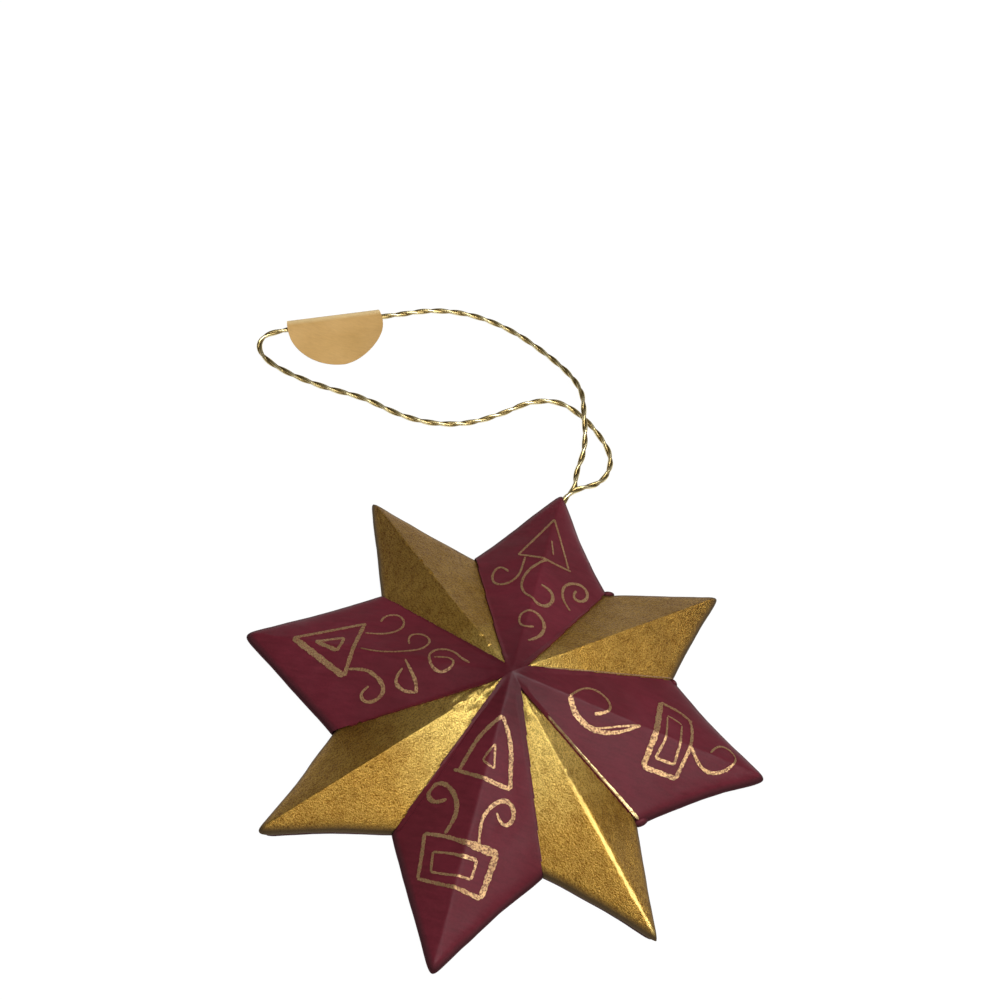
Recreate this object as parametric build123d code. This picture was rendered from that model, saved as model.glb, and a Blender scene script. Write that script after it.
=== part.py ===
"""Eight-pointed tin star ornament with a hanging cord and a folded paper tag. Millimetres.

The star lies on its back sheet: +Z comes out of its face, +Y runs to the point that holds the cord.
"""
import os
from math import acos, asin, atan2, cos, hypot, pi, radians, sin, tan
from typing import NamedTuple

from build123d import *

# Star outline, seen from the front
tip_reach = 45.0
tip_round = 1.5
corner_radius = 29.7
maroon_half_angle = 25.9
point_pitch = 45.0
gold_half_angle = point_pitch - maroon_half_angle

# Star section, from the table up
back_sheet = 0.3
tin_sheet = 0.3
rim_height = 2.1
crown_rise = 12.6
ridge_round = 2.0
rim_round = 0.9
rim_top = back_sheet + rim_height
apex_height = rim_top + crown_rise

# Laps between the points
flange_width = 3.0
flange_start = 9.0
hub_lap = 3.2
lap_bite_angle = 4.0
gold_inner_end = 1.6

# Solder
valley_bead = 0.6
valley_bead_start = 11.0
valley_bead_length = 13.0
rim_bead = 0.5
rim_bead_end_gap = 4.5
hub_button_radius = 4.0
hub_button_depth = 2.4
hub_button_gap = 0.02

# Hanging cord
cord_diameter = 1.2
neck_diameter = 1.6
neck_hole_clearance = 0.1
neck_height = 1.3
neck_reach = 2.0
neck_gap = 0.06
knot_setback = 6.0
knot_height = 1.75
knot_turn_radius = 0.75
knot_tilt = 62.0
knot_overlap = 0.4
neck_y = tip_reach + neck_reach

# Paper tag, a round label folded over the cord
tag_radius = 9.525
tag_paper = 0.12
tag_slack = 0.15
tag_glue_start = 2.8
tag_sleeve_radius = cord_diameter / 2 + tag_slack
tag_outer_radius = tag_sleeve_radius + tag_paper

# Heights of the cord's centre above the table
table_gap = 0.02
crossing_gap = 3.0
cord_height = cord_diameter / 2 + table_gap
tag_height = tag_outer_radius + table_gap
settle_height = (cord_height + tag_height) / 2
hump_height = cord_height + cord_diameter + crossing_gap

# The cord's route, with X and Y from the neck: up and over the crossing to the tag, then round and back
upper_leg = [
    (0.0, 0.0, neck_height),
    (0.7, 3.0, 1.1),
    (1.4, 7.2, 1.4),
    (1.5, 11.3, 3.1),
    (1.0, 15.1, hump_height),
    (-0.2, 19.7, hump_height),
    (-1.8, 23.5, 2.8),
    (-5.0, 27.3, 0.9),
    (-11.2, 31.0, cord_height),
    (-18.7, 34.4, cord_height),
    (-27.2, 35.8, cord_height),
    (-35.2, 34.3, settle_height),
    (-42.1, 30.2, tag_height),
]
lower_leg = [
    (-63.8, 18.2, tag_height),
    (-66.5, 15.0, settle_height),
    (-64.8, 11.3, cord_height),
    (-59.3, 9.0, cord_height),
    (-50.5, 8.0, cord_height),
    (-42.0, 8.2, cord_height),
    (-34.5, 6.3, cord_height),
    (-27.5, 6.4, cord_height),
    (-21.0, 8.7, cord_height),
    (-15.3, 13.3, cord_height),
    (-10.9, 18.0, cord_height),
    (-5.3, 19.9, cord_height),
    (0.0, 17.9, cord_height),
    (4.3, 14.0, cord_height),
    (7.2, 10.0, cord_height),
    (7.7, 5.9, 0.7),
    (5.7, 2.9, 0.95),
    (2.8, 1.3, 1.2),
    (0.0, 0.0, neck_height),
]

# Names of the points, anticlockwise from the cord's point
maroon_names = ["top", "left", "bottom", "right"]
gold_names = ["upper_left", "lower_left", "lower_right", "upper_right"]
cord_point_angle = 90.0
maroon_places = [cord_point_angle + 2 * number * point_pitch for number in range(4)]
gold_places = [angle + point_pitch for angle in maroon_places]

# Room past the star for cutting shapes, and how near counts as touching
past = 8.0
below = -1.0
touching = 1e-4
steepest_rim = 0.9
cut_height = apex_height + past - below

# The share of a run that a bend may take at each end
bend_share = 0.45


class Wall(NamedTuple):
    """One wall of a point along +X, on its +Y side, in plan."""

    foot: Vector
    along: Vector
    outward: Vector
    arc_centre: Vector
    touch: Vector
    nose: Vector
    sharp_tip: float


def inner_corner(half_angle, height=0.0):
    """Where a point along +X meets its neighbour on the +Y side."""
    angle = radians(half_angle)
    return Vector(corner_radius * cos(angle), corner_radius * sin(angle), height)


def plan_wall(half_angle, inset):
    """The wall from a point's inner corner to its round tip, moved in by inset."""
    corner = inner_corner(half_angle)
    arc_centre = Vector(tip_reach - tip_round, 0)
    to_centre = arc_centre - corner
    slope = atan2(to_centre.Y, to_centre.X) + asin(tip_round / to_centre.length)
    along = Vector(cos(slope), sin(slope))
    outward = Vector(-along.Y, along.X)
    arc_radius = tip_round - inset
    return Wall(
        foot=corner - outward * inset,
        along=along,
        outward=outward,
        arc_centre=arc_centre,
        touch=arc_centre + outward * arc_radius,
        nose=arc_centre + Vector(arc_radius, 0),
        sharp_tip=corner.X - corner.Y / tan(slope),
    )


def off_wall(wall, place):
    """How far a place lies from a point's outer wall in plan."""
    there = Vector(place.X, abs(place.Y))
    if there.X <= wall.touch.X:
        return abs((there - wall.foot).dot(wall.outward))
    arc_radius = wall.nose.X - wall.arc_centre.X
    return abs((there - wall.arc_centre).length - arc_radius)


def across(place):
    """The same place on the other side of a point's ridge."""
    return Vector(place.X, -place.Y, place.Z)


def facet_planes(half_angle, inset):
    """The two facets of a point along +X, moved in by inset."""
    apex = Vector(0, 0, apex_height)
    ridge = Vector(plan_wall(half_angle, 0).sharp_tip, 0, rim_top) - apex
    valley = inner_corner(half_angle, rim_top) - apex
    up = ridge.cross(valley).normalized()
    middle = apex - up * inset
    near = Plane(origin=middle, x_dir=ridge, z_dir=up)
    far = Plane(origin=across(middle), x_dir=ridge, z_dir=across(up))
    return near, far


def sector(half_angle):
    """The wedge of space that one point takes up, out to past the tips."""
    reach = tip_reach + past
    side = reach * tan(radians(half_angle))
    plan = make_face(Polyline((0, 0), (reach, -side), (reach, side), close=True))
    return Pos(0, 0, below) * extrude(plan, cut_height)


def envelope(half_angle, inset, floor):
    """The solid under a point's two facets and behind its walls, moved in from the outside by inset."""
    wall = plan_wall(half_angle, inset)
    back = wall.foot - wall.along * past
    rear = Vector(-past, back.Y)
    tip = ThreePointArc(wall.touch, wall.nose, across(wall.touch))
    sides = Polyline(across(wall.touch), across(back), across(rear), rear, back, wall.touch)
    block = Pos(0, 0, floor) * extrude(make_face([tip, sides]), apex_height + past - floor)
    for plane in facet_planes(half_angle, inset):
        block = split(block, bisect_by=plane, keep=Keep.BOTTOM)
    ridge = [
        edge
        for edge in block.edges()
        if abs(edge.center().Y) < touching and edge.center().Z > rim_top and edge.center().X > 0
    ]
    block = fillet(ridge, ridge_round - inset)
    rim = [
        edge
        for edge in block.edges()
        if off_wall(wall, edge.center()) < touching
        and abs(edge.tangent_at(0.5).Z) < steepest_rim
        and edge.center().Z > floor + touching
    ]
    return fillet(rim, rim_round - inset)


def in_sector(solid, half_angle):
    """What of a solid lies in a point's own wedge of space."""
    return solid & sector(half_angle)


def layer(half_angle, sheets_in, bite_angle=0.0):
    """One thickness of tin over a point, so many sheets in from the outside, standing on the back sheet.

    A bite angle makes the sheet reach that much past the point's own wedge on both sides.
    """
    outside = envelope(half_angle, sheets_in * tin_sheet, back_sheet)
    hollow = envelope(half_angle, (sheets_in + 1) * tin_sheet, below)
    return in_sector(outside - hollow, half_angle + bite_angle)


def upright(radius):
    """A tall cylinder about the star's axis, for cutting and keeping."""
    return Pos(0, 0, below + cut_height / 2) * Cylinder(radius, cut_height)


def valley_strip(start, end, near, far):
    """A tall block beside a maroon point's +Y valley, from start to end along it, near to far across it."""
    block = Box(end - start, far - near, cut_height)
    block = Pos((start + end) / 2, -(near + far) / 2, below + cut_height / 2) * block
    return Rot(0, 0, maroon_half_angle) * block


def mirrored(solid):
    """The same solid on the other side of a point's ridge."""
    return mirror(solid, about=Plane.XZ)


def turned(solid, angle):
    """A solid turned about the star's axis."""
    return Rot(0, 0, angle) * solid


def neck_hole():
    """The bore in the cord's point, along +X like the point."""
    bore = Cylinder(neck_diameter / 2 + neck_hole_clearance, 2 * tip_round + past)
    return Pos(tip_reach, 0, neck_height) * Rot(0, 90, 0) * bore


def maroon_point():
    """Maroon point along +X: its sheet, with a lap over the gold ends on both sides of the hub."""
    over_gold = turned(layer(gold_half_angle, 0, lap_bite_angle), point_pitch)
    gold_ridge = turned(Plane.XZ, point_pitch)
    lap = split(over_gold & upright(hub_lap), bisect_by=gold_ridge, keep=Keep.TOP)
    return layer(maroon_half_angle, 0) + lap + mirrored(lap)


def gold_point():
    """Gold point along +X: its sheet, one thickness down, with flanges under both maroon neighbours."""
    sheet = layer(gold_half_angle, 1) - upright(gold_inner_end)
    under_maroon = turned(layer(maroon_half_angle, 1), -point_pitch)
    strip = turned(valley_strip(flange_start, tip_reach, 0, flange_width), -point_pitch)
    flange = under_maroon & strip
    return sheet + flange + mirrored(flange)


def star_outline():
    """The star's outline as one closed face: straight walls, rounded tips and sharp inner corners."""
    edges = []
    for half_angle, places in ((maroon_half_angle, maroon_places), (gold_half_angle, gold_places)):
        wall = plan_wall(half_angle, 0)
        for angle in places:
            edges.append(turned(Line(across(wall.foot), across(wall.touch)), angle))
            edges.append(turned(ThreePointArc(across(wall.touch), wall.nose, wall.touch), angle))
            edges.append(turned(Line(wall.touch, wall.foot), angle))
    return make_face(edges)


def back_plate():
    """The flat sheet that closes the star from behind."""
    return extrude(star_outline(), back_sheet)


def valley_solder():
    """The seam of solder along a gold flange's free edge, under a maroon point along +X."""
    strip = valley_strip(
        valley_bead_start,
        valley_bead_start + valley_bead_length,
        flange_width,
        flange_width + valley_bead,
    )
    return layer(maroon_half_angle, 1) & strip


def rim_solder(half_angle, sheets_in):
    """Two fillets of solder in the corner between a point's walls and the back sheet, for a point along +X."""
    wall = plan_wall(half_angle, sheets_in * tin_sheet)
    start = wall.foot + wall.along * rim_bead_end_gap
    length = (wall.touch - wall.foot).length - rim_bead_end_gap - tip_round
    section = Plane(origin=(start.X, start.Y, back_sheet), x_dir=-wall.outward, z_dir=wall.along)
    triangle = make_face(Polyline((0, 0), (rim_bead, 0), (0, -rim_bead), close=True))
    bead = extrude(section * triangle, length)
    return Compound([bead, mirrored(bead)])


def hub_solder():
    """The button of solder under the hub, its cone run up against the undersides of the valleys."""
    up = facet_planes(gold_half_angle, 0)[0].z_dir
    top = apex_height - 2 * tin_sheet / up.Z - hub_button_gap
    shoulder = top - hub_button_radius * crown_rise / corner_radius
    bottom = top - hub_button_depth
    half_section = Polyline(
        (0, 0, bottom),
        (hub_button_radius, 0, bottom),
        (hub_button_radius, 0, shoulder),
        (0, 0, top),
        close=True,
    )
    return revolve(make_face(half_section), axis=Axis.Z)


def cord_knot():
    """The cord's knot inside the top point, with the neck of both cord ends out through the hole."""
    turn = Torus(knot_turn_radius, cord_diameter / 2)
    crossing_turn = Pos(0, -knot_overlap, 0) * Rot(knot_tilt, 0, 0) * turn
    knot = Pos(0, tip_reach - knot_setback, knot_height) * (turn + crossing_turn)
    neck_start = tip_reach - knot_setback
    neck_end = neck_y - neck_diameter - neck_gap
    neck_length = neck_end - neck_start
    neck = Rot(90, 0, 0) * Cylinder(neck_diameter / 2, neck_length)
    neck = Pos(0, neck_start + neck_length / 2, neck_height) * neck
    round_end = Pos(0, neck_end, neck_height) * Sphere(neck_diameter / 2)
    return knot + neck + round_end


def at_neck(points):
    """Route points moved from the neck to the star's own frame."""
    return [Vector(x, neck_y + y, z) for x, y, z in points]


def corner_radii(points):
    """The largest even bend at each inner point of a route."""
    radii = []
    for before, here, after in zip(points, points[1:], points[2:]):
        turn = radians((here - before).get_angle(after - here))
        shorter = min((here - before).length, (after - here).length)
        radii.append(bend_share * shorter / tan(turn / 2))
    return radii


def cord_tube(name, points):
    """A round cord along straight runs joined by tangent arcs."""
    radii = corner_radii(points)
    path = FilletPolyline(*points, radius=radii)
    start = Plane(origin=path @ 0, z_dir=path % 0)
    tube = sweep(start * Circle(cord_diameter / 2), path)
    section = pi * cord_diameter ** 2 / 4
    print(name, "length", round(path.length, 2), "radii", [round(r, 1) for r in radii])
    print(name, "volume over section times length", round(tube.volume / (section * path.length), 5))
    return tube


def tag_place():
    """The middle of the cord's run under the tag, and the way that the run goes."""
    start, end = at_neck([upper_leg[-1], lower_leg[0]])
    return (start + end) * 0.5, (end - start).normalized()


def cord_loop():
    """The free loop of cord, from the neck through the tag and back, with both ends gathered in one ball."""
    middle, _ = tag_place()
    upper = cord_tube("upper leg", at_neck(upper_leg) + [middle])
    lower = cord_tube("lower leg", [middle] + at_neck(lower_leg))
    gather = Pos(0, neck_y, neck_height) * Sphere(neck_diameter / 2)
    return upper + lower + gather


def tangent_point(radius, x, y):
    """Where the upper tangent from a place outside a circle about the origin touches it."""
    angle = atan2(y, x) + acos(radius / hypot(x, y))
    return radius * cos(angle), radius * sin(angle)


def teardrop(radius, tail, half_tail):
    """A round end drawn out to a flat tail along +X."""
    x, y = tangent_point(radius, tail, half_tail)
    round_end = ThreePointArc((x, y), (-radius, 0), (x, -y))
    tail_end = [(tail, -half_tail), (tail, half_tail)] if half_tail > 0 else [(tail, 0)]
    sides = Polyline((x, -y), *tail_end, (x, y))
    return make_face([round_end, sides])


def paper_tag():
    """The round label folded in half over the cord and stuck to itself, its flap towards the star."""
    middle, along = tag_place()
    flap = Vector(-along.Y, along.X, 0)
    section = Plane(origin=middle, x_dir=flap, z_dir=along)
    sleeve = teardrop(tag_outer_radius, tag_glue_start, tag_paper)
    leaf = Pos((tag_glue_start + tag_radius) / 2, 0) * Rectangle(tag_radius - tag_glue_start, 2 * tag_paper)
    bore = teardrop(tag_sleeve_radius, tag_glue_start, 0)
    folded = extrude(section * (sleeve + leaf - bore), tag_radius, both=True)
    disc = Cylinder(tag_radius, 4 * tag_outer_radius)
    return folded & (Pos(middle.X, middle.Y, middle.Z) * disc)


def main():
    """Write one file for each piece."""
    os.makedirs("parts", exist_ok=True)
    pieces = {}
    maroon = maroon_point()
    gold = gold_point()
    for name, angle in zip(maroon_names, maroon_places):
        sheet = maroon - neck_hole() if name == "top" else maroon
        pieces["maroon_point_" + name] = turned(sheet, angle)
    for name, angle in zip(gold_names, gold_places):
        pieces["gold_point_" + name] = turned(gold, angle)
    pieces["back_plate"] = back_plate()
    seam = valley_solder()
    maroon_feet = rim_solder(maroon_half_angle, 1)
    gold_feet = rim_solder(gold_half_angle, 2)
    for number, (maroon_angle, gold_angle) in enumerate(zip(maroon_places, gold_places)):
        pieces[f"valley_solder_{2 * number + 1}"] = turned(seam, maroon_angle)
        pieces[f"valley_solder_{2 * number + 2}"] = turned(mirrored(seam), maroon_angle)
        pieces[f"rim_solder_{2 * number + 1}"] = turned(maroon_feet, maroon_angle)
        pieces[f"rim_solder_{2 * number + 2}"] = turned(gold_feet, gold_angle)
    pieces["hub_solder"] = hub_solder()
    pieces["cord_knot"] = cord_knot()
    pieces["cord_loop"] = cord_loop()
    pieces["paper_tag"] = paper_tag()
    for name, piece in pieces.items():
        export_step(piece, f"parts/{name}.step")
    middle, along = tag_place()
    print("tag middle", middle, "cord's way there", along)


if __name__ == "__main__":
    main()
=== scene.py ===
"""Looks of the tin star ornament: folded points, painted scrolls, back sheet, cord and paper label."""
from math import atan2, cos, degrees, pi, radians, sin, sqrt

import bmesh
import bpy
from mathutils import Matrix, Vector


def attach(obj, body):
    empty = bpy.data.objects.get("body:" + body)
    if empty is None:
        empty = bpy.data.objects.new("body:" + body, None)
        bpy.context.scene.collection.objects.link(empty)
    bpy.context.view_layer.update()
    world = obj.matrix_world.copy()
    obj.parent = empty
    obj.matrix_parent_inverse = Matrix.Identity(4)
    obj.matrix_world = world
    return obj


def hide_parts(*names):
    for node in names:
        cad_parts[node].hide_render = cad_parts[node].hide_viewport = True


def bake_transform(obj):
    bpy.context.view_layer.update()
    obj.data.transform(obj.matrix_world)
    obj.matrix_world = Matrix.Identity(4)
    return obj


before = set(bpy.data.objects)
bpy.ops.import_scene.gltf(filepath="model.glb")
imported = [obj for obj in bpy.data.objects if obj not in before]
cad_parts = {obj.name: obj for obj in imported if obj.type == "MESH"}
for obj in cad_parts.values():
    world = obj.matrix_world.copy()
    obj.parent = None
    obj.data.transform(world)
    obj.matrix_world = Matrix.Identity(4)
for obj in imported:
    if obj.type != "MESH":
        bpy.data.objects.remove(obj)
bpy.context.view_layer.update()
scene = bpy.context.scene

MM = 0.001


def mm(*values):
    """A place or step in metres, from millimetres."""
    return Vector(values) * MM


# Camera

lens_mm = 47.34
sensor_mm = 36.0
camera_place = mm(-0.30, -95.07, 205.41)
camera_right = Vector((0.9638, 0.2429, 0.1104))
camera_up = Vector((-0.2632, 0.7980, 0.5421))
camera_back = Vector((0.0436, -0.5515, 0.8330))


def set_camera():
    """The camera at the photograph's viewing angle."""
    data = bpy.data.cameras.new("viewpoint")
    data.sensor_fit = "HORIZONTAL"
    data.sensor_width = sensor_mm
    data.lens = lens_mm
    data.clip_start = 0.01
    camera = bpy.data.objects.new("viewpoint", data)
    scene.collection.objects.link(camera)
    turn = Matrix((camera_right, camera_up, camera_back)).transposed().to_4x4()
    camera.matrix_world = Matrix.Translation(camera_place) @ turn
    scene.camera = camera


set_camera()


# Finishes

class Value:
    """A node's output. Arithmetic on it adds Math nodes."""

    def __init__(self, nodes, socket):
        self.nodes = nodes
        self.socket = socket

    def math(self, operation, first, second):
        return self.nodes.node("ShaderNodeMath", {"operation": operation}, {0: first, 1: second})

    def __add__(self, other):
        return self.math("ADD", self, other)

    def __sub__(self, other):
        return self.math("SUBTRACT", self, other)

    def __rsub__(self, other):
        return self.math("SUBTRACT", other, self)

    def __mul__(self, other):
        return self.math("MULTIPLY", self, other)

    def __truediv__(self, other):
        return self.math("DIVIDE", self, other)

    __radd__ = __add__
    __rmul__ = __mul__


class Nodes:
    """The nodes of a material or a world."""

    def __init__(self, owner):
        owner.use_nodes = True
        self.tree = owner.node_tree

    def node(self, kind, settings, inputs, output=0):
        """Add a node: its settings first, then the values or links of its sockets."""
        node = self.tree.nodes.new(kind)
        for key, value in settings.items():
            if key == "stops":
                while len(node.color_ramp.elements) < len(value):
                    node.color_ramp.elements.new(1.0)
                for element, (place, colour) in zip(node.color_ramp.elements, value):
                    element.position = place
                    element.color = (*colour, 1.0) if isinstance(colour, tuple) else (colour,) * 3 + (1.0,)
            else:
                setattr(node, key, value)
        for key, value in inputs.items():
            self.put(node.inputs[key], value)
        return Value(self, node.outputs[output])

    def put(self, socket, value):
        if isinstance(value, Value):
            self.tree.links.new(value.socket, socket)
        else:
            socket.default_value = value

    def rays(self, kind):
        """1 for the rays of one kind, 0 for all others."""
        return self.node("ShaderNodeLightPath", {}, {}, f"Is {kind} Ray")


class Finish(Nodes):
    """A procedural material around one Principled shader."""

    def __init__(self, name, **constants):
        self.material = bpy.data.materials.new(name)
        super().__init__(self.material)
        self.shader = self.tree.nodes["Principled BSDF"]
        self.feed(**constants)

    def feed(self, **values):
        """Set or link the shader's own sockets."""
        for socket, value in values.items():
            self.put(self.shader.inputs[socket.replace("_", " ")], value)

    def place(self):
        return self.node("ShaderNodeTexCoord", {}, {}, "Object")

    def stretched(self, turn, scale):
        """Object coordinates turned and scaled."""
        inputs = {"Vector": self.place(), "Rotation": turn, "Scale": scale}
        return self.node("ShaderNodeMapping", {}, inputs)

    def run(self, way):
        """Millimetres along a direction in plan, from the star's axis."""
        inputs = {0: self.place(), 1: (way.x / MM, way.y / MM, 0.0)}
        return self.node("ShaderNodeVectorMath", {"operation": "DOT_PRODUCT"}, inputs, "Value")

    def streaks(self, angle, length, breadth):
        """Noise drawn out along an angle in plan, in streaks of a length and breadth in millimetres."""
        inputs = {
            "Vector": self.place(),
            "Rotation": (0.0, 0.0, radians(angle)),
            "Scale": (length * MM, breadth * MM, breadth * MM),
        }
        where = self.node("ShaderNodeMapping", {"vector_type": "TEXTURE"}, inputs)
        return self.noise(1.0, 3.0, 0.6, where)

    def reach(self):
        """Millimetres from the star's axis."""
        plan = self.stretched((0.0, 0.0, 0.0), (1000.0, 1000.0, 0.0))
        return self.node("ShaderNodeVectorMath", {"operation": "LENGTH"}, {0: plan}, "Value")

    def above_rim(self):
        """0 on the turned-down rim, 1 on the facets."""
        height = self.node("ShaderNodeSeparateXYZ", {}, {0: self.place()}, "Z")
        return self.ramp(height * 250.0, (0.52, 0.0), (0.73, 1.0))

    def noise(self, scale, detail=3.0, rough=0.55, where=None):
        inputs = {"Vector": where or self.place(), "Scale": scale, "Detail": detail, "Roughness": rough}
        return self.node("ShaderNodeTexNoise", {}, inputs)

    def ramp(self, value, *stops):
        return self.node("ShaderNodeValToRGB", {"stops": stops}, {"Fac": value})

    def blend(self, factor, first, second, how="MIX"):
        settings = {"data_type": "RGBA", "blend_type": how}
        return self.node("ShaderNodeMix", settings, {0: factor, 6: first, 7: second}, 2)

    def bump(self, height, strength, distance):
        inputs = {"Height": height, "Strength": strength, "Distance": distance}
        return self.node("ShaderNodeBump", {}, inputs)


def maroon_paint():
    """Hand-brushed crimson-maroon paint with a satin sheen, with painted shade, darker, towards the hub and
    where it turns down over the rim.
    """
    paint = Finish("maroon_paint", Specular_IOR_Level=0.22)
    clouds = paint.noise(75.0, 2.0, 0.5)
    brushed = paint.noise(1.0, 4.0, 0.6, paint.stretched((0.0, 0.0, 0.6), (260.0, 1500.0, 900.0)))
    grain = paint.noise(2600.0, 3.0, 0.6)
    body = paint.ramp(clouds, (0.32, (0.109, 0.0130, 0.0200)), (0.68, (0.139, 0.0155, 0.0265)))
    streaks = paint.ramp(brushed, (0.25, 0.80), (0.75, 1.10))
    colour = paint.blend(1.0, body, streaks, "MULTIPLY")
    dust = paint.ramp(grain, (0.30, 0.85), (0.70, 1.10))
    colour = paint.blend(0.6, colour, dust, "MULTIPLY")
    # Painted shade: the paint is darker towards the hub
    painted_hub_shade = paint.ramp(paint.reach() / 30.0, (0.03, 0.66), (0.40, 1.0))
    colour = paint.blend(1.0, colour, painted_hub_shade, "MULTIPLY")
    above_rim = paint.above_rim()
    # Painted shade: a dark colour on the turned-down rim
    colour = paint.blend(above_rim, (0.084, 0.0205, 0.0265, 1.0), colour)
    paint.feed(
        Base_Color=colour,
        Metallic=0.9 - 0.9 * above_rim,
        Roughness=0.80 - above_rim * (0.48 - 0.16 * brushed),
        Normal=paint.bump(0.4 * grain + brushed, 0.16, 0.00012),
    )
    return paint.material


def gilt():
    """Gold leaf on grained tin: bright by the hub and browner further out, partly a painted highlight;
    painted shade on the upper points and the rim; one ridge burnished, with a painted highlight.
    """
    leaf = Finish("gilt_leaf", Specular_IOR_Level=0.4)
    clouds = leaf.noise(95.0, 3.0, 0.55)
    blotches = leaf.noise(430.0, 4.0, 0.62)
    grain = leaf.noise(3950.0, 3.0, 0.62)
    flecks = leaf.noise(4000.0, 2.0, 0.6)
    east = leaf.run(Vector((1.0, 0.0)))
    north = leaf.run(Vector((0.0, 1.0)))
    rising = leaf.ramp(0.1 * east * north + 0.5, (0.45, 0.0), (0.55, 1.0))
    brushed = leaf.blend(rising, leaf.streaks(135.0, 1.4, 0.30), leaf.streaks(45.0, 1.4, 0.30))
    # Painted shade: the upper points are moved towards the browner end of the colour ramp
    upper = leaf.ramp(0.1 * north + 0.5, (0.0, 0.0), (1.0, 0.26))
    # Bright yellow by the hub, browner further out: partly the leaf's own tone, partly a painted highlight
    body = leaf.ramp(
        0.019 * leaf.reach() + 0.16 * clouds + upper,
        (0.31, (1.00, 0.735, 0.205)),
        (0.56, (0.57, 0.334, 0.064)),
        (0.98, (0.46, 0.259, 0.051)),
    )
    # Along the lower right ridge: burnished, with a painted highlight on the crest, and less wear and bump
    # there
    way = ridge_way(soft_ridge)
    left = Vector((-way.y, way.x))
    across = leaf.node("ShaderNodeMath", {"operation": "ABSOLUTE"}, {0: leaf.run(left) - apex.dot(left)})
    painted_crest_light = leaf.ramp(across + 0.8 * blotches - 0.40, (0.14, 1.0), (0.38, 0.0))
    painted_crest_light = painted_crest_light * leaf.ramp(leaf.run(way) / star_reach, (0.16, 0.0), (0.42, 0.25), (0.64, 0.85))
    worn = leaf.ramp(0.65 * flecks + 0.35 * brushed, (0.40, (0.40, 0.29, 0.17)), (0.55, (1.0, 1.0, 1.0)))
    colour = leaf.blend(0.82 - 0.82 * painted_crest_light, body, worn, "MULTIPLY")
    rubbed = leaf.ramp(blotches, (0.36, (0.74, 0.67, 0.58)), (0.56, (1.0, 1.0, 1.0)))
    colour = leaf.blend(0.6 - 0.6 * painted_crest_light, colour, rubbed, "MULTIPLY")
    # Painted highlight: a brighter gold colour along the crest
    colour = leaf.blend(painted_crest_light, colour, (0.86, 0.62, 0.20, 1.0))
    # Painted shade: a dark brown colour on the turned-down rim
    above_rim = leaf.above_rim()
    colour = leaf.blend(above_rim, (0.122, 0.078, 0.034, 1.0), colour)
    leaf.feed(
        Base_Color=colour,
        Metallic=0.90,
        Roughness=0.70 - above_rim * (0.45 - 0.12 * flecks),
        Normal=leaf.bump((grain + 0.45 * brushed) * (1.0 - 0.7 * painted_crest_light), 1.0, 0.00013),
    )
    return leaf.material


def burnished_gold():
    """Gold rubbed bright along a lapped edge, broken by small dark nicks."""
    edge = Finish("burnished_gold", Specular_IOR_Level=0.4)
    nicks = edge.noise(2600.0, 3.0, 0.6)
    colour = edge.ramp(nicks, (0.36, (0.40, 0.25, 0.10)), (0.50, (0.97, 0.74, 0.36)))
    edge.feed(
        Base_Color=colour,
        Metallic=0.92,
        Roughness=0.44 - 0.16 * nicks,
        Normal=edge.bump(nicks, 0.4, 0.00005),
    )
    return edge.material


def scroll_gold():
    """Gold paint drawn with a fine brush: thin in places, so that the maroon shows through."""
    paint = Finish("scroll_gold", Specular_IOR_Level=0.4)
    thin = paint.noise(3000.0, 3.0, 0.65)
    clouds = paint.noise(160.0, 2.0, 0.5)
    body = paint.ramp(clouds, (0.30, (0.60, 0.365, 0.165)), (0.70, (0.78, 0.50, 0.25)))
    cover = paint.ramp(thin, (0.40, 0.12), (0.56, 1.0))
    colour = paint.blend(cover, (0.14, 0.035, 0.022, 1.0), body)
    paint.feed(
        Base_Color=colour,
        Metallic=0.92 * cover,
        Roughness=0.46 - 0.14 * cover,
        Normal=paint.bump(thin, 0.5, 0.00006),
    )
    return paint.material


def back_paint():
    """Plain maroon paint on the flat back sheet, a little scuffed."""
    paint = Finish("back_paint", Specular_IOR_Level=0.4)
    scuffs = paint.noise(1.0, 5.0, 0.65, paint.stretched((0.0, 0.0, 0.4), (120.0, 900.0, 300.0)))
    clouds = paint.noise(60.0, 3.0, 0.5)
    body = paint.ramp(clouds, (0.30, (0.050, 0.005, 0.008)), (0.70, (0.075, 0.006, 0.011)))
    colour = paint.blend(1.0, body, paint.ramp(scuffs, (0.30, 0.78), (0.72, 1.25)), "MULTIPLY")
    paint.feed(Base_Color=colour, Roughness=0.50 + 0.2 * scuffs, Normal=paint.bump(scuffs, 0.2, 0.0001))
    return paint.material


def solder_finish():
    """Dull grey solder."""
    metal = Finish("solder_grey")
    cast = metal.noise(900.0, 4.0, 0.6)
    colour = metal.ramp(cast, (0.30, (0.22, 0.22, 0.22)), (0.70, (0.48, 0.47, 0.45)))
    metal.feed(
        Base_Color=colour,
        Metallic=0.9,
        Roughness=0.35 + 0.3 * cast,
        Normal=metal.bump(cast, 0.4, 0.0002),
    )
    return metal.material


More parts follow.
